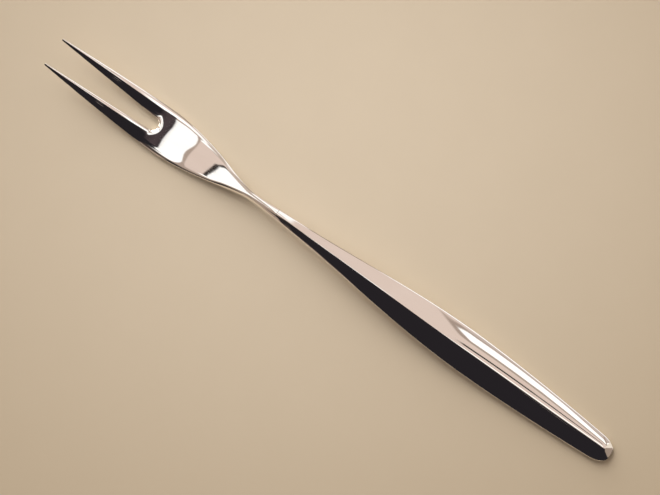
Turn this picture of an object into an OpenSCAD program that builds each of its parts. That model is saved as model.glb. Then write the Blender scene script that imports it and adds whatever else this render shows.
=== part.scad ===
// Two-tined meat fork with a hollow, ridged handle, lying on its back.
// All lengths are in millimetres. In the functions x runs from the tips of the tines to the end of the
// handle, y across the fork and z up from the table. The finished fork is centred on the origin.

/* [Lengths] */
// Length of the tines, from their tips to the root of the slot
tine_len = 38.6; // [35:0.1:43]
// From the root of the slot to the narrowest point of the neck
head_len = 36; // [31:0.5:42]
// From the narrowest point of the neck to the mouth of the handle
neck_len = 9; // [7:0.5:12]
// Length of the handle, from its mouth to its end
handle_len = 126.4; // [115:0.1:145]

/* [Widths] */
// Distance between the middles of the two tips
tip_spacing = 9.2; // [8:0.1:10.4]
// Width of a tine at its tip
tip_w = 0.7; // [0.5:0.1:1.2]
// Width of the slot at its round root
slot_w = 4.2; // [3.4:0.1:5]
// Width of the head at its widest
head_w = 14.3; // [13:0.1:17]
// From the root of the slot to the widest point of the head
head_swell = 3.5; // [2:0.5:6]
// Width of the neck at its narrowest
neck_w = 3; // [2.8:0.1:3.8]
// Width of the handle at its widest
handle_w = 13.1; // [11.5:0.1:15]
// From the mouth of the handle to its widest point
handle_swell = 72; // [64:1:82]
// From the mouth of the handle to where its flat sides start to swell
crown_at = 52; // [46:1:58]
// Length over which the swell of the sides grows
crown_run = 16; // [10:1:22]
// Width of the handle's end, before its corners are rounded
end_w = 7.6; // [6.6:0.1:9]
// Length of the rounded corners at the handle's end
corner_len = 5; // [3.5:0.5:6]
// Width that each rounded corner takes off the end
corner_w = 2.4; // [1.8:0.1:2.9]

/* [Heights] */
// Thickness of a tine at its tip
tip_t = 0.8; // [0.6:0.1:1.4]
// Thickness of the head
head_t = 2.3; // [1.8:0.1:3]
// Thickness of the neck at its narrowest
neck_t = 3.2; // [3:0.1:4.2]
// Thickness of the handle at its widest, from its back to its ridge
handle_t = 5.2; // [4.6:0.1:7]
// Thickness of the handle's end, from its back to its ridge
end_t = 3.2; // [2.9:0.1:4.2]
// Height of the underside of the tips above the table
tip_rise = 8; // [4:0.5:14]
// Height of the underside of the arch above the table
arch_rise = 4; // [2.5:0.5:7]
// From the root of the slot to the line where the head rests
head_rest = 8; // [5:0.5:12]
// From the mouth of the handle to the top of the arch
arch_at = 16; // [10:1:24]
// From the mouth of the handle to the start of the flat land that it rests on
land_at = 97; // [84:1:104]

/* [Edges] */
// Distance over which the outer edges of the head are eased off
edge_r = 0.9; // [0.6:0.1:1.3]
// Distance over which the edge round the root of the slot is eased off
root_edge = 1; // [0.6:0.1:1.4]
// Length over which the edge of a tine widens to the edge of the root
root_blend = 6; // [3:0.5:12]
// Radius of the top of the head, across it
dome_r = 80; // [70:5:160]
// From the line where the head rests to where its domed top starts to flatten
dome_run = 12; // [6:0.5:16]
// From the root of the slot to where the head starts to round into the bar of the neck
bar_at = 23; // [19:0.5:26]
// Length over which this rounding grows
bar_run = 5; // [3:0.5:7]
// Distance over which the edges of the neck are rounded off
neck_r = 1.4; // [1:0.1:1.6]
// From the start of the ridge to the narrowest point of the neck
ridge_start = 4; // [2:0.5:8]
// From the narrowest point of the neck to where the ridge has its full shape
ridge_run = 14; // [11:0.5:18]
// Height of the upright band round the edge of the handle, on each side of its seam
edge_band = 0.5; // [0.4:0.05:0.6]
// Width of the bevel along the upper edge of the handle
bevel_w = 0.22; // [0.15:0.01:0.3]
// Height that this bevel takes off the upright band
bevel_drop = 0.16; // [0.08:0.02:0.2]
// Length of the hip that ends the ridge
end_hip = 3.2; // [2.6:0.1:4]
// Depth that is ground off the handle's back to make its flat land
land_cut = 0.12; // [0.08:0.02:0.3]

/* [Inside] */
// Wall of the two handle shells
wall = 0.55; // [0.4:0.05:0.7]
// Thickness of the solder in the seam and at the neck
solder_t = 0.15; // [0.1:0.05:0.2]
// Width of the tang at the mouth of the handle
tang_w = 1.2; // [0.9:0.1:1.4]
// Height of the tang at the mouth of the handle
tang_h = 1.4; // [1.1:0.1:1.5]
// Length of the tang
tang_len = 30; // [24:1:40]
// Solid metal at the end of the handle, behind the cavity
end_wall = 6.5; // [6:0.5:10]
// Length over which the cavity closes
close_len = 7; // [5:0.5:12]

/* [Hidden] */

// Places along the fork
x_root = tine_len;
x_arc = x_root - slot_w / 2;
x_wide = x_root + head_swell;
x_bar = x_root + bar_at;
x_rest = x_root + head_rest;
x_neck = x_root + head_len;
x_ridge = x_neck - ridge_start;
x_mouth = x_neck + neck_len;
x_shell = x_mouth + solder_t;
x_arch = x_mouth + arch_at;
x_swell = x_mouth + handle_swell;
x_crown = x_mouth + crown_at;
x_full = x_crown + crown_run;
x_land = x_mouth + land_at;
x_end = x_mouth + handle_len;
x_cavity = x_end - end_wall;
x_tang = x_mouth + tang_len;
x_hip = x_end - end_hip;

// How the outlines curve: shares and powers, with no unit
tine_power = 1.5;
shoulder_power = 1.8;
throat_power = 1.5;
taper_power = 1.65;
tine_thinning = 2;
end_thinning = 1.2;
softening = 0.6;
end_softening = 6;
edge_share = 0.5;
neck_share = 0.15;
tine_edge = 0.35;
handle_level = 0.42;
back_flat = 0.55;
side_crown = 0.3;
ridge_sharp = 0.01;
ridge_soft = 0.08;
end_soft = 0.3;
tang_taper = 0.6;
tang_edge = 0.4;

// How finely the surfaces are divided
tine_cells = 5;
slot_cells = 6;
cells = 2 * tine_cells + slot_cells;
shell_last = cells + 4;
tine_rows = 14;
root_rows = 4;
head_rows = 13;
neck_rows = 4;
tang_rows = 6;
grip_rows = 16;
taper_rows = 8;
close_rows = 4;
end_rows = 7;

silver = [0.82, 0.81, 0.8];
solder_grey = [0.62, 0.62, 0.64];
cement_brown = [0.42, 0.36, 0.3];

// Small helpers
function mix(a, b, t) = a + (b - a) * t;
function limit(t) = max(0, min(1, t));
function ease(t) = let (c = limit(t)) c * c * (3 - 2 * c);
function quarter(t) = sqrt(max(0, 1 - t * t));
function share(x, from, to) = limit((x - from) / (to - from));

// Outline seen from above: half the width at x, and half the slot
function corner(x) = corner_w * (1 - quarter(share(x, x_end - corner_len, x_end)));
function tine_outline(x) =
    head_w / 2 - (head_w - tip_spacing - tip_w) / 2 * pow(1 - share(x, 0, x_wide), tine_power);
function head_outline(x) =
    mix(neck_w, head_w, pow(1 - pow(share(x, x_wide, x_neck), shoulder_power), throat_power)) / 2;
function grip_outline(x) = mix(neck_w, handle_w, ease(share(x, x_neck, x_swell))) / 2;
function end_outline(x) = mix(handle_w, end_w, pow(share(x, x_swell, x_end), taper_power)) / 2 - corner(x);
function half_w(x) =
    x < x_wide ? tine_outline(x)
    : x < x_neck ? head_outline(x)
    : x < x_swell ? grip_outline(x)
    : end_outline(x);
function half_slot(x) = mix(tip_spacing - tip_w, slot_w, share(x, 0, x_arc)) / 2;

// Outline seen from the side: the underside, the thickness and the edge line between top and bottom
function low(x) =
    x < x_rest ? tip_rise * pow(1 - x / x_rest, 2)
    : x < x_arch ? arch_rise * ease(share(x, x_rest, x_arch))
    : mix(arch_rise, -land_cut, ease(share(x, x_arch, x_land)));
function thick(x) =
    x < x_wide ? mix(head_t, tip_t, pow(1 - share(x, 0, x_wide), tine_thinning))
    : x < x_swell ? neck_thick(x) + (handle_t - neck_t) * ease(share(x, x_neck, x_swell))
    : mix(handle_t, end_t, pow(share(x, x_swell, x_end), end_thinning));
function neck_thick(x) = mix(head_t, neck_t, ease(share(x, x_rest, x_mouth)));
function level(x) = mix(0.5, handle_level, ease(share(x, x_neck, x_swell)));
function down(x) = thick(x) * level(x);
function up(x) = thick(x) - down(x);
function mid(x) = low(x) + down(x);

// Cross-section shapes, from 1 at the middle to a small share at the edge. f is the place across, 0 to 1.
function rim(d, r, left) = 1 - (1 - left) * pow(1 - limit(d / r), 2);
function round_bar(x) = ease(share(x, x_bar, x_bar + bar_run));
function edge_radius(x) = min(mix(edge_r, neck_r, round_bar(x)), half_w(x));
function edge_left(x) = mix(edge_share, neck_share, round_bar(x));
function ridged(x) = ease(share(x, x_ridge, x_neck + ridge_run));
function softness(x) =
    let (run = share(x, x_full, x_end))
    ridge_sharp + ridge_soft * pow(run, softening) + end_soft * pow(run, end_softening);
function ridge_fall(f, soft) = (norm([f, soft]) - soft) / (norm([1, soft]) - soft);
function roof(x, f) =
    let (fall = ridge_fall(f, softness(x)), crown = side_crown * ease(share(x, x_crown, x_full)))
    (1 - fall) * (1 + crown * fall);
function back(f) = quarter(max(0, f - back_flat) / (1 - back_flat));
function plate(x, f) = rim((1 - f) * half_w(x), edge_radius(x), edge_left(x));
// The roof turns round the end of the ridge, as a hip
function across(x, f) =
    x < x_hip ? f : min(1, norm([(x - x_hip) / end_hip, f * half_w(x) / half_w(x_hip)]));
function bevel(x, f) = bevel_drop * max(0, 1 - (1 - f) * half_w(x) / bevel_w);
function roof_height(x, f) = edge_band + (up(x) - edge_band) * roof(x, across(x, f)) - bevel(x, f);
function front_height(x, f) = mix(up(x) * plate(x, f), roof_height(x, f), ridged(x));
function back_depth(x, f) =
    mix(down(x) * plate(x, f), edge_band + (down(x) - edge_band) * back(f), ridged(x));

// Cavity in the handle: its half width, and its height above and below the seam
function closing(x) = quarter(share(x, x_cavity - close_len, x_cavity));
function cavity_w(x) = half_w(x) - wall;
function cavity_up(x, f) =
    (up(x) - solder_t / 2 - wall) * mix(quarter(f), roof(x, f), ridged(x)) * closing(x);
function cavity_down(x, f) =
    (down(x) - solder_t / 2 - wall - land_cut) * mix(quarter(f), back(f), ridged(x)) * closing(x);

// Tang: its half width and half height
function tang_size(x) = mix(1, tang_taper, share(x, x_mouth, x_tang));
function tang_half_h(x, f) = tang_h / 2 * tang_size(x) * mix(tang_edge, 1, quarter(f));

// Columns across the fork, from -1 to 1: even in angle in the handle, gathered at the tines in the head
function spread(j) = -cos(180 * j / cells);
function tine_spread(k) = (1 - cos(180 * k / tine_cells)) / 2;
function slot_spread(k) = sin(90 * (2 * k / slot_cells - 1));
function head_y(x, j, inner) =
    j < tine_cells ? -mix(inner, half_w(x), tine_spread(tine_cells - j))
    : j > cells - tine_cells ? mix(inner, half_w(x), tine_spread(j - cells + tine_cells))
    : inner * slot_spread(j - tine_cells);

// Rows along each piece
arc_inner = slot_w / 2;
inner_share = arc_inner / half_w(x_arc);
head_xs = concat(
    [for (i = [0:root_rows]) mix(x_arc, x_wide, i / root_rows)],
    [for (i = [1:head_rows]) mix(x_wide, x_neck, i / head_rows)],
    [for (i = [1:neck_rows]) mix(x_neck, x_mouth, i / neck_rows)]
);
handle_xs = concat(
    [for (i = [0:grip_rows - 1]) mix(x_shell, x_swell, i / grip_rows)],
    [for (i = [0:taper_rows - 1]) mix(x_swell, x_cavity - close_len, i / taper_rows)],
    [for (i = [0:close_rows]) x_cavity - close_len * (1 - sin(90 * i / close_rows))],
    [for (i = [1:end_rows]) mix(x_cavity, x_end, sin(90 * i / end_rows))]
);
cavity_last = grip_rows + taper_rows + close_rows;
tang_xs = concat([x_mouth], [for (i = [0:tang_rows]) mix(x_shell, x_tang, i / tang_rows)]);

// Point of the fork head on row i and column j, seen from above
function bow(i, y) =
    abs(y) >= arc_inner ? 0
    : sqrt(arc_inner * arc_inner - y * y) * max(0, 1 - (i - tine_rows) / root_rows);
function tine_point(i, j) = let (x = x_arc * i / tine_rows) [x, head_y(x, j, half_slot(x))];
function body_point(i, j) =
    let (
        x = head_xs[i - tine_rows],
        gathered = head_y(x, j, inner_share * half_w(x)),
        y = mix(gathered, half_w(x) * spread(j), ease(share(x, x_wide, x_neck)))
    )
    [x + bow(i, gathered), y];
function head_point(i, j) =
    i <= tine_rows && !in_slot(j) ? tine_point(i, j) : body_point(max(i, tine_rows), j);
function in_slot(j) = j > tine_cells && j < cells - tine_cells;

// Share of the full thickness at a point of the head, less along the outer edges and round the slot
function slot_distance(x, y) =
    x <= x_arc ? abs(y) - half_slot(x) : norm([x - x_arc, y]) - arc_inner;
function tine_r(x) = tine_edge * (half_w(min(x, x_arc)) - half_slot(x));
function outer_r(x) = mix(tine_r(x), edge_radius(x), share(x, x_arc, x_rest));
function slot_r(x) = mix(tine_r(x), root_edge, share(x, x_arc - root_blend, x_root));
function head_share(x, y) =
    rim(half_w(x) - abs(y), outer_r(x), edge_left(x)) * rim(slot_distance(x, y), slot_r(x), edge_share);
// How far the top of the head drops to its sides
function dome(x, y) =
    y * y / (2 * dome_r) * thick(min(x, x_wide)) / head_t * (1 - ease(share(x, x_rest + dome_run, x_ridge)));
function head_top(p) =
    let (x = p.x, y = p.y, f = limit(abs(y) / half_w(x)))
    [x, y, mid(x) + (x < x_ridge ? up(x) * head_share(x, y) - dome(x, y) : front_height(x, f))];
function head_bottom(p) =
    let (x = p.x, f = limit(abs(p.y) / half_w(x)))
    [x, p.y, mid(x) - (x < x_ridge ? down(x) * head_share(x, p.y) : back_depth(x, f))];

// Point of the tang, of the handle's outside and of its cavity on one row and column. side is 1 up, -1 down.
function tang_point(x, j, side) =
    [x, tang_w / 2 * tang_size(x) * spread(j), mid(x) + side * tang_half_h(x, abs(spread(j)))];
function on_rim(j) = j < 2 || j > shell_last - 2;
function rim_y(x, j) = j == 0 || j == shell_last ? half_w(x) : half_w(x) - bevel_w;
function shell_y(x, j) = on_rim(j) ? sign(j - 2) * rim_y(x, j) : cavity_w(x) * spread(j - 2);
function shell_outer(x, j, side) =
    let (y = shell_y(x, j), f = limit(abs(y) / half_w(x)))
    [x, y, mid(x) + (side > 0 ? front_height(x, f) : -back_depth(x, f))];
function shell_inner(x, j, side) =
    on_rim(j) ? [x, shell_y(x, j), mid(x) + side * solder_t / 2] : cavity_point(x, j - 2, side);
function cavity_point(x, j, side) =
    let (f = abs(spread(j)), depth = side > 0 ? cavity_up(x, f) : cavity_down(x, f))
    [x, cavity_w(x) * spread(j), mid(x) + side * (solder_t / 2 + depth)];
function seam_point(x, j, side) =
    let (y = [-half_w(x), -cavity_w(x), cavity_w(x), half_w(x)][j])
    [x, y, mid(x) + side * solder_t / 2];
function ring_point(x, j, side) =
    let (f = abs(spread(j)))
    [x, half_w(x) * spread(j), mid(x) + (side > 0 ? front_height(x, f) : -back_depth(x, f))];

// Grids of such points, one list for each row
function grid(xs, last, point) = [for (x = xs) [for (j = [0:last]) point(x, j)]];
function first(list, n) = [for (i = [0:n - 1]) list[i]];
function after_first(list) = [for (i = [1:len(list) - 1]) list[i]];

// Faces of a solid between two grids of points. Each wall faces outwards.
function quad(a, b, c, d) = [[a, b, c], [a, c, d]];
function flat(lists) = [for (list = lists) for (item = list) item];

function skin(rows, cols, top, bottom, keep) = flat([
    for (i = [0:rows - 2], j = [0:cols - 2])
        if (keep(i, j)) let (a = i * cols + j, b = a + 1, c = a + cols + 1, d = a + cols)
            concat(
                quad(top + a, top + b, top + c, top + d),
                quad(bottom + a, bottom + d, bottom + c, bottom + b),
                j > 0 && keep(i, j - 1) ? [] : quad(top + a, top + d, bottom + d, bottom + a),
                j < cols - 2 && keep(i, j + 1) ? [] : quad(top + c, top + b, bottom + b, bottom + c)
            )
]);
function front_wall(rows, cols, top, bottom, keep) = flat([
    for (i = [0:rows - 2], j = [0:cols - 2])
        if (keep(i, j) && !(i > 0 && keep(i - 1, j))) let (a = i * cols + j, b = a + 1)
            quad(top + b, top + a, bottom + a, bottom + b)
]);
function rear_wall(rows, cols, top, bottom, keep) = flat([
    for (i = [0:rows - 2], j = [0:cols - 2])
        if (keep(i, j) && !(i < rows - 2 && keep(i + 1, j))) let (d = (i + 1) * cols + j, c = d + 1)
            quad(top + d, top + c, bottom + c, bottom + d)
]);
// Ring of faces between the ends of two nested solids, which have the same number of columns
function collar(cols, top, bottom, inner_top, inner_bottom) = concat(
    flat([for (j = [0:cols - 2]) quad(top + j + 1, top + j, inner_top + j, inner_top + j + 1)]),
    flat([for (j = [0:cols - 2]) quad(inner_bottom + j + 1, inner_bottom + j, bottom + j, bottom + j + 1)]),
    quad(inner_top, top, bottom, inner_bottom),
    quad(top + cols - 1, inner_top + cols - 1, inner_bottom + cols - 1, bottom + cols - 1)
);
function reversed(faces) = [for (f = faces) [f[0], f[2], f[1]]];
function everywhere() = function(i, j) true;

module between(top, bottom, keep = everywhere()) {
    rows = len(top);
    cols = len(top[0]);
    count = rows * cols;
    polyhedron(
        concat(flat(top), flat(bottom)),
        concat(
            skin(rows, cols, 0, count, keep),
            front_wall(rows, cols, 0, count, keep),
            rear_wall(rows, cols, 0, count, keep)
        )
    );
}

// Solid with a hollow that opens at the front, and at the rear too where through is set
module sleeve(top, bottom, hole_top, hole_bottom, through = false) {
    cols = len(top[0]);
    rows = len(top);
    hole_rows = len(hole_top);
    count = rows * cols;
    hole = 2 * count;
    hole_count = hole_rows * cols;
    last = (rows - 1) * cols;
    hole_last = hole + (hole_rows - 1) * cols;
    all = everywhere();
    polyhedron(
        concat(flat(top), flat(bottom), flat(hole_top), flat(hole_bottom)),
        concat(
            skin(rows, cols, 0, count, all),
            reversed(skin(hole_rows, cols, hole, hole + hole_count, all)),
            collar(cols, 0, count, hole, hole + hole_count),
            through
                ? reversed(collar(cols, last, count + last, hole_last, hole_last + hole_count))
                : concat(
                    rear_wall(rows, cols, 0, count, all),
                    reversed(rear_wall(hole_rows, cols, hole, hole + hole_count, all))
                )
        )
    );
}

module centred() translate([-x_end / 2, 0, 0]) children();

// Tines, head, neck, shoulder and tang, forged as one piece
module fork_head() {
    last_row = tine_rows + len(head_xs) - 1;
    plan = [for (i = [0:last_row]) [for (j = [0:cells]) head_point(i, j)]];
    top = [for (row = plan) [for (p = row) head_top(p)]];
    bottom = [for (row = plan) [for (p = row) head_bottom(p)]];
    tang_top = grid(tang_xs, cells, function(x, j) tang_point(x, j, 1));
    tang_bottom = grid(tang_xs, cells, function(x, j) tang_point(x, j, -1));
    metal = function(i, j) i >= tine_rows || j < tine_cells || j >= cells - tine_cells;
    color(silver) centred() between(concat(top, tang_top), concat(bottom, tang_bottom), metal);
}

// Ridged upper shell of the handle
module handle_front() {
    outer = grid(handle_xs, shell_last, function(x, j) shell_outer(x, j, 1));
    inner = grid(handle_xs, shell_last, function(x, j) shell_inner(x, j, 1));
    color(silver) centred() between(outer, inner);
}

// Lower shell of the handle, ground flat where it rests on the table
module handle_back() {
    inner = grid(handle_xs, shell_last, function(x, j) shell_inner(x, j, -1));
    outer = grid(handle_xs, shell_last, function(x, j) shell_outer(x, j, -1));
    color(silver) centred() difference() {
        between(inner, outer);
        translate([x_mouth, -handle_w, -handle_t]) cube([handle_len + handle_t, 2 * handle_w, handle_t]);
    }
}

// Cement that fills the handle and holds the tang
module handle_filler() {
    xs = first(handle_xs, cavity_last + 1);
    top = grid(xs, cells, function(x, j) cavity_point(x, j, 1));
    bottom = grid(xs, cells, function(x, j) cavity_point(x, j, -1));
    hole_top = grid(after_first(tang_xs), cells, function(x, j) tang_point(x, j, 1));
    hole_bottom = grid(after_first(tang_xs), cells, function(x, j) tang_point(x, j, -1));
    color(cement_brown) centred() sleeve(top, bottom, hole_top, hole_bottom);
}

// Ribbon of solder between the rims of the two shells, closed round the end of the handle
module seam_solder() {
    top = grid(handle_xs, 3, function(x, j) seam_point(x, j, 1));
    bottom = grid(handle_xs, 3, function(x, j) seam_point(x, j, -1));
    metal = function(i, j) i >= cavity_last || j != 1;
    color(solder_grey) centred() between(top, bottom, metal);
}

// Ring of solder between the shoulder of the neck and the mouth of the handle
module neck_solder() {
    xs = first(tang_xs, 2);
    top = grid(xs, cells, function(x, j) ring_point(x, j, 1));
    bottom = grid(xs, cells, function(x, j) ring_point(x, j, -1));
    hole_top = grid(xs, cells, function(x, j) tang_point(x, j, 1));
    hole_bottom = grid(xs, cells, function(x, j) tang_point(x, j, -1));
    color(solder_grey) centred() sleeve(top, bottom, hole_top, hole_bottom, through = true);
}

fork_head();
handle_front();
handle_back();
handle_filler();
seam_solder();
neck_solder();
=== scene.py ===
"""A two-tined meat fork in polished silver plate, lying on a pale table.

Blender works in metres. Sizes are written in mm, and MM turns them to metres.
"""

import math

import bmesh
import bpy
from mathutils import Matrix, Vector


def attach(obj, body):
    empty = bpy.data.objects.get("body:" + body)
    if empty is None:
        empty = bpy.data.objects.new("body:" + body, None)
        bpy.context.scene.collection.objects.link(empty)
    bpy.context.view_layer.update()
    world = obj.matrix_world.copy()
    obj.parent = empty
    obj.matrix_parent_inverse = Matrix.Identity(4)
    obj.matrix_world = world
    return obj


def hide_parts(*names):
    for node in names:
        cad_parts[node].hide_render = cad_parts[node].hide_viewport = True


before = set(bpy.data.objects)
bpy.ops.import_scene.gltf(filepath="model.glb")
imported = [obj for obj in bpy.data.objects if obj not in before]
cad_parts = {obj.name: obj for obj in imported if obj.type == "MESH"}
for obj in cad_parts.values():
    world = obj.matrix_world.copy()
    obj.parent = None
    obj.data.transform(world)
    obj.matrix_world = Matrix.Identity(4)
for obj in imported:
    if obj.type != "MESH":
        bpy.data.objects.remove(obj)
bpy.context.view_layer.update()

MM = 0.001

# The turn of the picture against the fork, about the vertical
FORK_TURN = math.radians(35.98)

# Sizes along the fork, in mm from the tips of the tines
TINE_LEN = 38.6  # to the root of the slot
SLOT_W = 4.2
ARC = SLOT_W / 2
X_ARC = TINE_LEN - ARC  # the slot starts to round
X_WIDE = TINE_LEN + 3.5  # the head is widest
X_REST = TINE_LEN + 8.0  # the head touches the table
X_DOME = X_REST + 12.0  # the dome of the head starts to fade
X_BAR = TINE_LEN + 23.0  # the edges start to round
X_ROUND = X_BAR + 5.0  # the flat head has become a round bar
X_NECK = TINE_LEN + 36.0  # the neck is narrowest
X_RIDGE = X_NECK - 4.0  # the ridge starts
X_RIDGED = X_NECK + 14.0  # the ridge is full
X_MOUTH = X_NECK + 9.0  # the shoulder of the head meets the solder
SOLDER_T = 0.15
X_SHELL = X_MOUTH + SOLDER_T  # the solder meets the two shells
X_ARCH = X_MOUTH + 16.0  # the underside is highest
X_CROWN = X_MOUTH + 52.0  # the flat sides of the front start to crown
X_FULL = X_MOUTH + 68.0  # the sides are crowned and the ridge starts to soften
X_SWELL = X_MOUTH + 72.0  # the handle is widest and thickest
X_LAND = X_MOUTH + 97.0  # the underside is down on the table
X_END = X_MOUTH + 126.4  # the end of the handle
END_HIP = 3.2
X_HIP = X_END - END_HIP  # the ridge falls to the end
X_CAVITY = X_END - 6.5  # the cavity ends
CLOSE_LEN = 7.0  # over which the cavity closes
X_TANG = X_MOUTH + 30.0  # the tang ends
ROOT_BLEND = 6.0  # over which the edges of the tines become the root's

# Sizes across the fork
TIP_SPACING = 9.2
TIP_W = 0.7
HEAD_W = 14.3
NECK_W = 3.0
HANDLE_W = 13.1
END_W = 7.6
CORNER_LEN = 5.0
CORNER_W = 2.4
EDGE_R = 0.9
NECK_R = 1.4
ROOT_EDGE = 1.0
BEVEL_W = 0.22
WALL = 0.55
TANG_W = 1.2

# Heights
TIP_T = 0.8
HEAD_T = 2.3
HEAD_DOME_R = 80.0
NECK_T = 3.2
HANDLE_T = 5.2
END_T = 3.2
TIP_RISE = 8.0
ARCH_RISE = 4.0
EDGE_BAND = 0.5
BEVEL_DROP = 0.16
LAND_CUT = 0.12
TANG_H = 1.4

# Shares of a width or a height, with no unit
EDGE_SHARE = 0.5
NECK_SHARE = 0.15
TINE_EDGE = 0.35
HEAD_LEVEL = 0.5
HANDLE_LEVEL = 0.42
BACK_FLAT = 0.55
CROWN = 0.3
TANG_TAPER = 0.6
TANG_EDGE = 0.4
RIDGE_SHARP = 0.01
RIDGE_SOFT = 0.08
END_SOFT = 0.3

# Powers that shape the curves
TINE_POWER = 1.5
SHOULDER_POWER = 1.8
THROAT_POWER = 1.5
TAPER_POWER = 1.65
TINE_THINNING = 2
END_THINNING = 1.2
SOFTENING = 0.6
END_SOFTENING = 6


def mix(a, b, t):
    return a + (b - a) * t


def share(x, start, end):
    """How much of the way from start to end is behind x, from 0 to 1."""
    return min(max((x - start) / (end - start), 0.0), 1.0)


def ease(t):
    """From 0 to 1, level at both ends."""
    return t * t * (3 - 2 * t)


def quarter(t):
    """A quarter circle, from 1 down to 0."""
    return math.sqrt(max(0.0, 1 - t * t))


# Outline from above
def half_w(x):
    if x < X_WIDE:
        tine_draw = (HEAD_W - TIP_SPACING - TIP_W) / 2
        return HEAD_W / 2 - tine_draw * (1 - share(x, 0, X_WIDE)) ** TINE_POWER
    if x < X_NECK:
        waist = (1 - share(x, X_WIDE, X_NECK) ** SHOULDER_POWER) ** THROAT_POWER
        return mix(NECK_W, HEAD_W, waist) / 2
    if x < X_SWELL:
        return mix(NECK_W, HANDLE_W, ease(share(x, X_NECK, X_SWELL))) / 2
    corner = CORNER_W * (1 - quarter(share(x, X_END - CORNER_LEN, X_END)))
    return mix(HANDLE_W, END_W, share(x, X_SWELL, X_END) ** TAPER_POWER) / 2 - corner


def half_slot(x):
    return mix(TIP_SPACING - TIP_W, SLOT_W, share(x, 0, X_ARC)) / 2


# Outline from the side
def low(x):
    if x < X_REST:
        return TIP_RISE * (1 - x / X_REST) ** 2
    if x < X_ARCH:
        return ARCH_RISE * ease(share(x, X_REST, X_ARCH))
    return mix(ARCH_RISE, -LAND_CUT, ease(share(x, X_ARCH, X_LAND)))


def thick(x):
    if x < X_WIDE:
        return mix(HEAD_T, TIP_T, (1 - share(x, 0, X_WIDE)) ** TINE_THINNING)
    if x < X_SWELL:
        bar = mix(HEAD_T, NECK_T, ease(share(x, X_REST, X_MOUTH)))
        return bar + (HANDLE_T - NECK_T) * ease(share(x, X_NECK, X_SWELL))
    return mix(HANDLE_T, END_T, share(x, X_SWELL, X_END) ** END_THINNING)


def level(x):
    """Share of the thickness below the widest line."""
    return mix(HEAD_LEVEL, HANDLE_LEVEL, ease(share(x, X_NECK, X_SWELL)))


def down(x):
    return thick(x) * level(x)


def up(x):
    return thick(x) - down(x)


def mid(x):
    return low(x) + down(x)


# Cross-sections; f is the place across, from 0 at the middle to 1 at the edge
def ridged(x):
    return ease(share(x, X_RIDGE, X_RIDGED))


def roof(x, f):
    """Share of the rise: flat sides with a crisp ridge, then crowned sides with a softer one."""
    run = share(x, X_FULL, X_END)
    soft = RIDGE_SHARP + RIDGE_SOFT * run ** SOFTENING + END_SOFT * run ** END_SOFTENING
    fall = (math.hypot(f, soft) - soft) / (math.hypot(1, soft) - soft)
    crown = CROWN * ease(share(x, X_CROWN, X_FULL))
    return (1 - fall) * (1 + crown * fall)


def back(f):
    return quarter(max(0.0, f - BACK_FLAT) / (1 - BACK_FLAT))


def round_bar(x):
    return ease(share(x, X_BAR, X_ROUND))


def edge_r(x):
    return mix(EDGE_R, NECK_R, round_bar(x))


def edge_share(x):
    return mix(EDGE_SHARE, NECK_SHARE, round_bar(x))


def rim(d, r, left):
    """Share of the thickness at d from an edge that is eased off over r, down to the share left."""
    return 1 - (1 - left) * (1 - min(max(d, 0) / r, 1)) ** 2


def plate(x, f):
    return rim((1 - f) * half_w(x), edge_r(x), edge_share(x))


def dome(x, y):
    """How far the top of the head drops to its sides."""
    drop = y * y / (2 * HEAD_DOME_R) * thick(min(x, X_WIDE)) / HEAD_T
    return drop * (1 - ease(share(x, X_DOME, X_RIDGE)))


def front_height(x, f):
    bevel = BEVEL_DROP * max(0.0, 1 - (1 - f) * half_w(x) / BEVEL_W)
    across = f
    if x > X_HIP:
        across = min(math.hypot((x - X_HIP) / END_HIP, f * half_w(x) / half_w(X_HIP)), 1)
    rise = EDGE_BAND + (up(x) - EDGE_BAND) * roof(x, across) - bevel
    return mix(up(x) * plate(x, f), rise, ridged(x))


def back_depth(x, f):
    return mix(down(x) * plate(x, f), EDGE_BAND + (down(x) - EDGE_BAND) * back(f), ridged(x))


def closing(x):
    return quarter(share(x, X_CAVITY - CLOSE_LEN, X_CAVITY))


# Tools for the meshes
SMOOTH_LEVELS = 1


def place(x, y, z):
    return Vector((x - X_END / 2, y, z)) * MM


def pressed(rows, cols, lower, upper, keep=None):
    """A blank of rows by cols cells, given thickness and pressed between two shapes: a new bmesh."""
    bm = bmesh.new()
    bmesh.ops.create_grid(bm, x_segments=rows, y_segments=cols, size=1.0)

    def spot(v):
        return round((v.co.x + 1) / 2 * rows), round((v.co.y + 1) / 2 * cols)

    if keep:
        waste = []
        for f in bm.faces:
            face_rows, face_cols = zip(*(spot(v) for v in f.verts))
            if not keep(min(face_rows), min(face_cols)):
                waste.append(f)
        bmesh.ops.delete(bm, geom=waste, context="FACES")
    bottom = list(bm.verts)
    raised = bmesh.ops.extrude_face_region(bm, geom=bm.faces[:], use_keep_orig=True)["geom"]
    top = [g for g in raised if isinstance(g, bmesh.types.BMVert)]
    for side, shape in ((bottom, lower), (top, upper)):
        for v in side:
            v.co = place(*shape(*spot(v)))
    bmesh.ops.recalc_face_normals(bm, faces=bm.faces[:])
    return bm


def finish_piece(bm, name, material, crease_angle):
    """The bmesh as a smooth piece that rides on the fork. Edges sharper than the angle stay sharp."""
    creases = bm.edges.layers.float.new("crease_edge")
    for f in bm.faces:
        f.smooth = True
    for e in bm.edges:
        if len(e.link_faces) == 2 and e.calc_face_angle(0) > crease_angle:
            e[creases] = 1.0
            e.smooth = False
    mesh = bpy.data.meshes.new(name)
    bm.to_mesh(mesh)
    bm.free()
    mesh.materials.append(material)
    piece = bpy.data.objects.new(name, mesh)
    bpy.context.scene.collection.objects.link(piece)
    smooth = piece.modifiers.new("smooth", "SUBSURF")
    smooth.levels = smooth.render_levels = SMOOTH_LEVELS
    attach(piece, "root")
    return piece


# Tools for the materials. The three numbers are a Mix node's sockets for colours.
MIX_A = 6
MIX_B = 7
MIXED = 2


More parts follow.
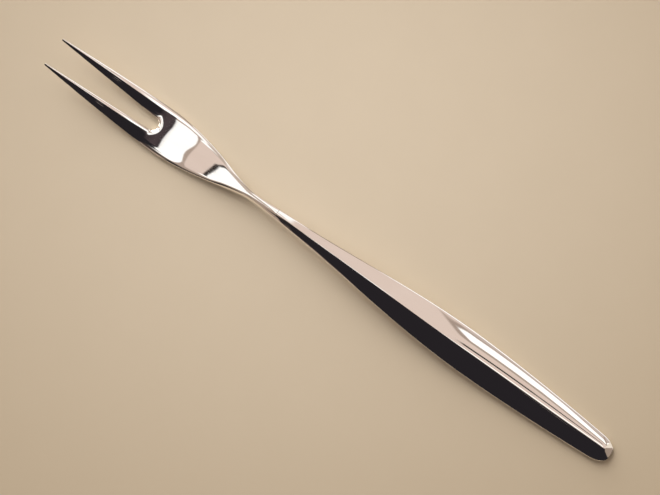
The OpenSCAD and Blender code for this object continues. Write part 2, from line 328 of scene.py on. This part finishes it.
def linear(code):
    """An sRGB hex code as linear values."""
    parts = [int(code[i:i + 2], 16) / 255 for i in (1, 3, 5)]
    return tuple(c / 12.92 if c <= 0.04045 else ((c + 0.055) / 1.055) ** 2.4 for c in parts) + (1.0,)


def add(tree, kind, links=None, **settings):
    """One node with its settings, and a socket, a value or a colour for each input that links names."""
    node = tree.nodes.new(kind)
    for key, value in settings.items():
        setattr(node, key, value)
    for key, value in (links or {}).items():
        if isinstance(value, bpy.types.NodeSocket):
            tree.links.new(value, node.inputs[key])
        else:
            node.inputs[key].default_value = value
    return node


def new_material(name):
    material = bpy.data.materials.new(name)
    material.use_nodes = True
    tree = material.node_tree
    shader = tree.nodes["Principled BSDF"]
    return material, tree, shader


def per_metre(size):
    """The scale of a pattern whose marks have this size in mm."""
    return 1 / (size * MM)


# Silver plate on nickel silver, buffed to a mirror: a warm white metal that is bright or black by what it
# mirrors. Wiping leaves hairlines along the fork, which only show where the light catches them, and a film
# of tarnish too thin to see but for its uneven warmth. Real hairlines are finer; these are drawn to show.
HAIRLINE_LEN = 25.0
HAIRLINE_W = 0.4
FILM_LEN = 20.0
FILM_W = 4.0


def polished_silver_plate():
    material, tree, shader = new_material("polished_silver_plate")
    shader.inputs["Metallic"].default_value = 1.0
    coords = add(tree, "ShaderNodeTexCoord")
    patterns = []
    for length, width, detail in ((HAIRLINE_LEN, HAIRLINE_W, 3.0), (FILM_LEN, FILM_W, 2.0)):
        along = add(tree, "ShaderNodeMapping", {
            "Vector": coords.outputs["Object"],
            "Scale": (per_metre(length), per_metre(width), per_metre(width)),
        })
        patterns.append(add(tree, "ShaderNodeTexNoise", {
            "Vector": along.outputs[0], "Scale": 1.0, "Detail": detail,
        }))
    wiping, film = patterns
    haze = add(tree, "ShaderNodeMapRange", {
        "Value": wiping.outputs["Fac"], "From Min": 0.35, "From Max": 0.75, "To Min": 0.02, "To Max": 0.05,
    })
    tone = add(tree, "ShaderNodeMix", {
        "Factor": film.outputs["Fac"], MIX_A: linear("#faf7f2"), MIX_B: linear("#f2ede6"),
    }, data_type="RGBA")
    tree.links.new(haze.outputs[0], shader.inputs["Roughness"])
    tree.links.new(tone.outputs[MIXED], shader.inputs["Base Color"])
    return material


# Silver solder, filed and buffed flush: the same metal with a duller, greyer line.
FILE_MARK = 0.25


def buffed_silver_solder():
    material, tree, shader = new_material("buffed_silver_solder")
    shader.inputs["Metallic"].default_value = 1.0
    coords = add(tree, "ShaderNodeTexCoord")
    grain = add(tree, "ShaderNodeTexNoise", {
        "Vector": coords.outputs["Object"], "Scale": per_metre(FILE_MARK),
    })
    tone = add(tree, "ShaderNodeMix", {
        "Factor": grain.outputs["Fac"], MIX_A: linear("#cfcac4"), MIX_B: linear("#e2ded8"),
    }, data_type="RGBA")
    tree.links.new(tone.outputs[MIXED], shader.inputs["Base Color"])
    shader.inputs["Roughness"].default_value = 0.22
    return material


# Cement cast round the tang: a dull brown filling with coarse grain.
CEMENT_GRIT = 0.6


def cast_handle_cement():
    material, tree, shader = new_material("cast_handle_cement")
    coords = add(tree, "ShaderNodeTexCoord")
    grain = add(tree, "ShaderNodeTexNoise", {
        "Vector": coords.outputs["Object"], "Scale": per_metre(CEMENT_GRIT), "Detail": 6.0,
    })
    tone = add(tree, "ShaderNodeMix", {
        "Factor": grain.outputs["Fac"], MIX_A: linear("#4a3d30"), MIX_B: linear("#8a7862"),
    }, data_type="RGBA")
    tree.links.new(tone.outputs[MIXED], shader.inputs["Base Color"])
    shader.inputs["Roughness"].default_value = 0.9
    return material


# Painted table board: matt and beige, with a faint mottle. A pool of light is painted into its colour: away
# from the pool's centre the tone sinks to a painted shade.
MOTTLE = 16.0
PAINTED_POOL_PLACE = Vector((-35.0, 37.0, 0.0)) * MM
PAINTED_POOL_REACH = Vector((230.0, 210.0, 1000.0)) * MM


def matt_table_board():
    material, tree, shader = new_material("matt_table_board")
    coords = add(tree, "ShaderNodeTexCoord")
    mottle = add(tree, "ShaderNodeTexNoise", {
        "Vector": coords.outputs["Object"], "Scale": per_metre(MOTTLE), "Detail": 4.0,
    })
    # The mottled tone of the board in the middle of the painted pool of light
    painted_pool_tone = add(tree, "ShaderNodeMix", {
        "Factor": mottle.outputs["Fac"], MIX_A: linear("#d0c0a8"), MIX_B: linear("#d4c4ac"),
    }, data_type="RGBA")
    # Painted shade: the distance from the centre of the painted pool of light sets how far the tone darkens
    away = add(tree, "ShaderNodeMapping", {
        "Vector": coords.outputs["Object"], "Location": PAINTED_POOL_PLACE, "Rotation": (0, 0, FORK_TURN),
        "Scale": PAINTED_POOL_REACH,
    }, vector_type="TEXTURE")
    distance = add(tree, "ShaderNodeVectorMath", {0: away.outputs[0]}, operation="LENGTH")
    fade = add(tree, "ShaderNodeMapRange", {
        "Value": distance.outputs["Value"],
    }, interpolation_type="SMOOTHSTEP")
    # Painted shade: the tone darkens to #ad9b81 away from the centre of the painted pool of light
    tone = add(tree, "ShaderNodeMix", {
        "Factor": fade.outputs[0], MIX_A: painted_pool_tone.outputs[MIXED], MIX_B: linear("#ad9b81"),
    }, data_type="RGBA")
    tree.links.new(tone.outputs[MIXED], shader.inputs["Base Color"])
    shader.inputs["Roughness"].default_value = 0.9
    return material


# Rows and columns of the pieces
TINE_CELLS = 10
SLOT_CELLS = 12
HEAD_COLS = 2 * TINE_CELLS + SLOT_CELLS
TINE_ROWS = 26
ROOT_ROWS = 12
WAIST_ROWS = 22
NECK_ROWS = 8
TANG_ROWS = 6
GRIP_ROWS = 60
END_ROWS = 16
END_STRETCH = 6.0  # the last mm of the handle, where the rows crowd
HANDLE_COLS = 28
CROWDING = 0.7


def spaced(start, end, count, skip=0):
    return [mix(start, end, i / count) for i in range(skip, count + 1)]


HEAD_XS = spaced(X_ARC, X_WIDE, ROOT_ROWS)
HEAD_XS += spaced(X_WIDE, X_NECK, WAIST_ROWS, 1)
HEAD_XS += spaced(X_NECK, X_MOUTH, NECK_ROWS, 1)
HEAD_ROWS = TINE_ROWS + len(HEAD_XS) - 1
HANDLE_XS = spaced(X_SHELL, X_END - END_STRETCH, GRIP_ROWS)
for step in range(1, END_ROWS + 1):
    HANDLE_XS.append(X_END - END_STRETCH * (1 - math.sin(math.pi / 2 * step / END_ROWS)))
HANDLE_ROWS = len(HANDLE_XS) - 1


def cosine(t):
    return (1 - math.cos(math.pi * t)) / 2


def crowded(t):
    """Columns that crowd close to both edges of a tine."""
    return mix(cosine(t), cosine(cosine(t)), CROWDING)


# The head
def head_y(x, col, inner):
    if col <= TINE_CELLS:
        return -mix(inner, half_w(x), crowded((TINE_CELLS - col) / TINE_CELLS))
    if col >= HEAD_COLS - TINE_CELLS:
        return mix(inner, half_w(x), crowded((col - HEAD_COLS + TINE_CELLS) / TINE_CELLS))
    return inner * math.sin(math.pi / 2 * (2 * (col - TINE_CELLS) / SLOT_CELLS - 1))


def head_plan(row, col):
    """Place of a row and column of the head, from above. The rows bow round the root of the slot."""
    if row < TINE_ROWS:
        x = X_ARC * row / TINE_ROWS
        return x, head_y(x, col, half_slot(x))
    x = HEAD_XS[row - TINE_ROWS]
    gathered = head_y(x, col, ARC / half_w(X_ARC) * half_w(x))
    even = half_w(x) * -math.cos(math.pi * col / HEAD_COLS)
    bow = 0.0
    if abs(gathered) < ARC:
        bow = math.sqrt(ARC * ARC - gathered * gathered) * max(0.0, 1 - (row - TINE_ROWS) / ROOT_ROWS)
    return x + bow, mix(gathered, even, ease(share(x, X_WIDE, X_NECK)))


def head_share(x, y):
    """Share of the full thickness: less along the outer edges and round the slot."""
    x_tine = min(x, X_ARC)
    r_tine = TINE_EDGE * (half_w(x_tine) - half_slot(x_tine))
    to_slot = abs(y) - half_slot(x)
    if x > X_ARC:
        to_slot = math.hypot(x - X_ARC, y) - ARC
    r = mix(r_tine, edge_r(x), share(x, X_ARC, X_REST))
    r_slot = mix(r_tine, ROOT_EDGE, share(x, X_ARC - ROOT_BLEND, X_ARC + ARC))
    return rim(half_w(x) - abs(y), r, edge_share(x)) * rim(to_slot, r_slot, EDGE_SHARE)


def head_top(row, col):
    x, y = head_plan(row, col)
    if x < X_RIDGE:
        return x, y, mid(x) + up(x) * head_share(x, y) - dome(x, y)
    return x, y, mid(x) + front_height(x, min(abs(y) / half_w(x), 1))


def head_bottom(row, col):
    x, y = head_plan(row, col)
    if x < X_RIDGE:
        return x, y, mid(x) - down(x) * head_share(x, y)
    return x, y, mid(x) - back_depth(x, min(abs(y) / half_w(x), 1))


def head_metal(row, col):
    return row >= TINE_ROWS or col < TINE_CELLS or col >= HEAD_COLS - TINE_CELLS


# The tang; what lies within TOUCH of the shoulder face belongs to it
TOUCH = 0.0001


def tang_size(x):
    return mix(1, TANG_TAPER, share(x, X_MOUTH, X_TANG))


def draw_out_tang(bm):
    """The tang, drawn out of the shoulder face in steps that follow the bend of the handle."""
    shoulder = place(X_MOUTH - TOUCH, 0, 0).x
    faces = [f for f in bm.faces if min(v.co.x for v in f.verts) > shoulder]
    last_x, last_half = X_MOUTH, half_w(X_MOUTH)
    for x in [X_MOUTH] + spaced(X_SHELL, X_TANG, TANG_ROWS):
        drawn = bmesh.ops.extrude_face_region(bm, geom=faces)["geom"]
        bmesh.ops.delete(bm, geom=faces, context="FACES")
        faces = [g for g in drawn if isinstance(g, bmesh.types.BMFace)]
        half = TANG_W / 2 * tang_size(x)
        for v in [g for g in drawn if isinstance(g, bmesh.types.BMVert)]:
            f = v.co.y / (last_half * MM)
            height = TANG_H / 2 * tang_size(x) * mix(TANG_EDGE, 1, quarter(f))
            if v.co.z < mid(last_x) * MM:
                height = -height
            v.co = place(x, f * half, mid(x) + height)
        last_x, last_half = x, half
    bmesh.ops.recalc_face_normals(bm, faces=bm.faces[:])


# The handle
def handle_f(col):
    t = 2 * col / HANDLE_COLS - 1
    return math.copysign(cosine(abs(t)), t)


def front_outside(row, col):
    x, f = HANDLE_XS[row], handle_f(col)
    return x, f * half_w(x), mid(x) + front_height(x, abs(f))


def back_outside(row, col):
    x, f = HANDLE_XS[row], handle_f(col)
    return x, f * half_w(x), max(mid(x) - back_depth(x, abs(f)), 0.0)


def cavity(row, col, side):
    """The inside of a shell: its rim at the outermost columns, and the cavity between them."""
    x, f = HANDLE_XS[row], handle_f(col)
    seat = mid(x) + side * SOLDER_T / 2
    if abs(f) == 1:
        return x, f * half_w(x), seat
    inner = f / handle_f(HANDLE_COLS - 1)
    deep = (up(x) if side > 0 else down(x) - LAND_CUT) - SOLDER_T / 2 - WALL
    shape = roof(x, abs(inner)) if side > 0 else back(abs(inner))
    depth = deep * mix(quarter(inner), shape, ridged(x)) * closing(x)
    return x, inner * (half_w(x) - WALL), seat + side * depth


def front_inside(row, col):
    return cavity(row, col, 1)


def back_inside(row, col):
    return cavity(row, col, -1)


HEAD_CREASE = math.radians(45)
SHELL_CREASE = math.radians(70)
silver = polished_silver_plate()
solder = buffed_silver_solder()
cement = cast_handle_cement()

# The forged head
head_mesh = pressed(HEAD_ROWS, HEAD_COLS, head_bottom, head_top, head_metal)
draw_out_tang(head_mesh)
fork_head = finish_piece(head_mesh, "forged_head", silver, HEAD_CREASE)
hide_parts("fork_head")

# The two stamped halves of the handle
front_mesh = pressed(HANDLE_ROWS, HANDLE_COLS, front_inside, front_outside)
handle_front = finish_piece(front_mesh, "ridged_front_half", silver, SHELL_CREASE)
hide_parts("handle_front")

back_mesh = pressed(HANDLE_ROWS, HANDLE_COLS, back_outside, back_inside)
handle_back = finish_piece(back_mesh, "flat_back_half", silver, SHELL_CREASE)
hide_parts("handle_back")

# The pieces that keep their solid's shape
for node_name, finish in (("seam_solder", solder), ("neck_solder", solder), ("handle_filler", cement)):
    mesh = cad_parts[node_name].data
    mesh.materials.clear()
    mesh.materials.append(finish)

# The table, a hair below the fork
TABLE_HALF = 2000.0
TABLE_CELLS = 4
TABLE_DROP = 0.02
table_mesh = bmesh.new()
bmesh.ops.create_grid(table_mesh, x_segments=TABLE_CELLS, y_segments=TABLE_CELLS, size=TABLE_HALF * MM)
bmesh.ops.translate(table_mesh, verts=table_mesh.verts[:], vec=(0, 0, -TABLE_DROP * MM))
table_data = bpy.data.meshes.new("table")
table_mesh.to_mesh(table_data)
table_mesh.free()
table_data.materials.append(matt_table_board())
table = bpy.data.objects.new("table", table_data)
bpy.context.scene.collection.objects.link(table)

# Camera straight above, turned so that the handle runs to the lower right. FIELD_W is the width of the
# view at the height FIELD_H.
CAMERA_X = 102.95
CAMERA_Y = 1.2
CAMERA_H = 700.0
FIELD_W = 202.0
FIELD_H = 4.0
SENSOR_W = 36.0
camera_data = bpy.data.cameras.new("camera")
camera_data.sensor_width = SENSOR_W
camera_data.lens = SENSOR_W * (CAMERA_H - FIELD_H) / FIELD_W
camera = bpy.data.objects.new("camera", camera_data)
camera.location = place(CAMERA_X, CAMERA_Y, CAMERA_H)
camera.rotation_euler = (0, 0, FORK_TURN)
bpy.context.scene.collection.objects.link(camera)
bpy.context.scene.camera = camera

# The studio round the fork, as a world that is light or dark by direction. East runs along the fork to the
# handle's end and north across it. Both are direction cosines, so a patch lights the table by its area.
world = bpy.data.worlds.new("studio")
bpy.context.scene.world = world
world.use_nodes = True
tree = world.node_tree
tree.nodes.clear()
coords = add(tree, "ShaderNodeTexCoord")
sky = add(tree, "ShaderNodeSeparateXYZ", {"Vector": coords.outputs["Generated"]})
east, north = sky.outputs["X"], sky.outputs["Y"]

# Edges that aren't square to the fork: straight ones at a slant, by their slope, and two wavy ones
SLOPES = (0.13, 0.1, 1.13, -0.2, 0.26, 0.62, -0.62, 0.84, -1.2)
WAVE_RATE = 28.0
WAVE_START = 1.1
WAVE_DEPTH = 0.012
RIPPLE_DEPTH = 0.004
slant = {}
for slope in SLOPES:
    leaning = add(tree, "ShaderNodeMath", {0: north, 1: slope, 2: east}, operation="MULTIPLY_ADD")
    slant[slope] = leaning.outputs[0]
turn = add(tree, "ShaderNodeMath", {0: north, 1: WAVE_RATE, 2: WAVE_START}, operation="MULTIPLY_ADD")
swing = add(tree, "ShaderNodeMath", {0: turn.outputs[0]}, operation="COSINE")
waves = []
for depth in (WAVE_DEPTH, RIPPLE_DEPTH):
    wave = add(tree, "ShaderNodeMath", {0: swing.outputs[0], 1: -depth, 2: east}, operation="MULTIPLY_ADD")
    waves.append(wave.outputs[0])
wavy, rippled = waves
aside = add(tree, "ShaderNodeMath", {0: north}, operation="ABSOLUTE").outputs[0]

# Each patch of the sky: its strength, its tone, how soft its edges are, and the limits that it lies between
ROOM = "#e3d0c6"
WHITE = "#ffffff"
FRAME = "#2c2523"
DARK = "#262327"
lamp_point = ((slant[0.62], 0.571, None), (slant[-0.62], -0.322, None))
tube_point = ((slant[0.62], 0.597, None), (slant[-0.62], -0.296, None))
PATCHES = (
    # The dim south side of the room
    (1.0, "#aa9688", 0.3, ((north, None, -0.35),)),
    # The bright wall to the north, with a grey blind and a dull foot, and its bright lower corner
    (1.2, WHITE, 0.012, ((north, 0.3, 0.83), (slant[0.13], None, -0.03))),
    (1.3, WHITE, 0.03, ((north, 0.3, 0.68), (east, -0.1, 0.08))),
    (1.0, "#c2b2a6", 0.015, ((slant[-0.2], -0.5, -0.245), (north, 0.14, 0.82))),
    (1.0, "#ab9b8c", 0.012, ((east, -0.14, 0.0), (north, 0.885, None))),
    (1.15, WHITE, 0.012, ((north, 0.77, 0.965), (east, -0.26, -0.175))),
    (1.15, WHITE, 0.008, ((north, 0.895, 0.965), (east, -0.26, -0.14))),
    # The strong light to the north-west, which lights the table
    (6.6, WHITE, 0.02, ((north, 0.1, 0.85), (slant[0.13], None, -0.4))),
    # The overhead panel in its grey frame, and a bright strip beside it
    (1.2, WHITE, 0.006, ((east, -0.235, -0.15), (north, 0.124, 0.32))),
    (1.0, "#b3a196", 0.005, ((rippled, -0.181, 0.3), (north, -0.62, 0.27))),
    (1.2, WHITE, 0.005, ((wavy, -0.161, 0.3), (slant[0.26], -0.195, None), (north, -0.6, 0.2))),
    # The window to the west in its dark frame, and the bright pane south of it
    (1.0, FRAME, 0.003, (
        (slant[0.1], -0.92, -0.286), (north, -0.15, 0.06), (slant[1.13], None, -0.256),
    )),
    (1.2, WHITE, 0.003, (
        (slant[0.1], -0.9, -0.301), (north, -0.15, 0.036), (slant[1.13], None, -0.274),
    )),
    (1.2, WHITE, 0.01, ((slant[0.1], -0.9, -0.265), (north, -0.45, -0.14))),
    # The strip lamp, which comes to a point: its grey frame, its tube and the pale band below it
    (1.0, "#ab998e", 0.008, lamp_point + ((north, 0.648, 0.765),)),
    (1.25, WHITE, 0.006, tube_point + ((north, 0.673, 0.748),)),
    (1.0, "#c6b8b0", 0.012, lamp_point + ((north, 0.765, 0.89),)),
    # The dark bar and the bright slit above the lamp, and a grey rail that crosses it
    (1.0, FRAME, 0.004, ((east, 0.176, 0.24), (north, 0.554, 0.58))),
    (1.2, WHITE, 0.02, ((east, 0.16, 0.26), (north, 0.4, 0.47))),
    (1.0, "#a8958a", 0.012, ((slant[0.84], 0.885, 0.94), (east, 0.24, 0.42))),
    # The dull east wall, its pale corner, and the bright foot of the wall to the north
    (1.0, "#a08f82", 0.04, ((east, 0.55, None), (north, None, 0.45))),
    (1.0, "#f3e8da", 0.03, ((east, 0.45, None), (north, 0.46, None))),
    (1.15, WHITE, 0.02, ((east, 0.0, None), (north, 0.88, None))),
    # The dark wall to the south, with a paler fold
    (1.0, DARK, 0.05, ((slant[-0.2], 0.05, 0.45), (east, 0.0, None), (north, -0.92, -0.3))),
    (1.0, DARK, 0.02, ((east, -0.042, 0.03), (north, -0.86, -0.3))),
    (1.0, "#50453f", 0.02, ((east, -0.075, -0.03), (north, -0.93, -0.62))),
    (1.0, DARK, 0.012, ((slant[-0.2], 0.004, 0.25), (slant[-1.2], 0.86, 0.96), (north, -0.945, -0.3))),
    # The dark ceiling, which comes down on the south side, with a paler edge and two small lights
    (1.0, DARK, 0.004, ((rippled, -0.024, 0.42), (north, None, 0.35))),
    (1.0, DARK, 0.02, ((slant[0.84], None, 0.83), (east, 0.33, None), (north, None, 0.35))),
    (1.0, "#4c4245", 0.02, ((east, -0.02, 0.02), (north, -0.2, 0.33))),
    (1.0, "#a0958f", 0.006, ((east, 0.187, 0.208), (aside, 0.09, 0.114))),
)
light = linear(ROOM)
for strength, code, soft, limits in PATCHES:
    mask = 1.0
    for value, first, last in limits:
        for limit, inside in ((first, 1), (last, 0)):
            if limit is None:
                continue
            edge = add(tree, "ShaderNodeMapRange", {
                "Value": value, "From Min": limit - soft, "From Max": limit + soft,
                "To Min": 1 - inside, "To Max": inside,
            }, interpolation_type="SMOOTHSTEP")
            within = add(tree, "ShaderNodeMath", {0: edge.outputs[0], 1: mask}, operation="MULTIPLY")
            mask = within.outputs[0]
    glow = tuple(strength * c for c in linear(code))
    painted = add(tree, "ShaderNodeMix", {"Factor": mask, MIX_A: light, MIX_B: glow}, data_type="RGBA")
    light = painted.outputs[MIXED]

# The camera itself sees a plain backdrop
around = add(tree, "ShaderNodeBackground", {"Color": light, "Strength": 1.0})
backdrop = add(tree, "ShaderNodeBackground", {"Color": linear("#d8c8b0"), "Strength": 1.0})
camera_ray = add(tree, "ShaderNodeLightPath").outputs["Is Camera Ray"]
seen = add(tree, "ShaderNodeMixShader", {0: camera_ray, 1: around.outputs[0], 2: backdrop.outputs[0]})
add(tree, "ShaderNodeOutputWorld", {"Surface": seen.outputs[0]})

bpy.context.scene.view_settings.view_transform = "Standard"
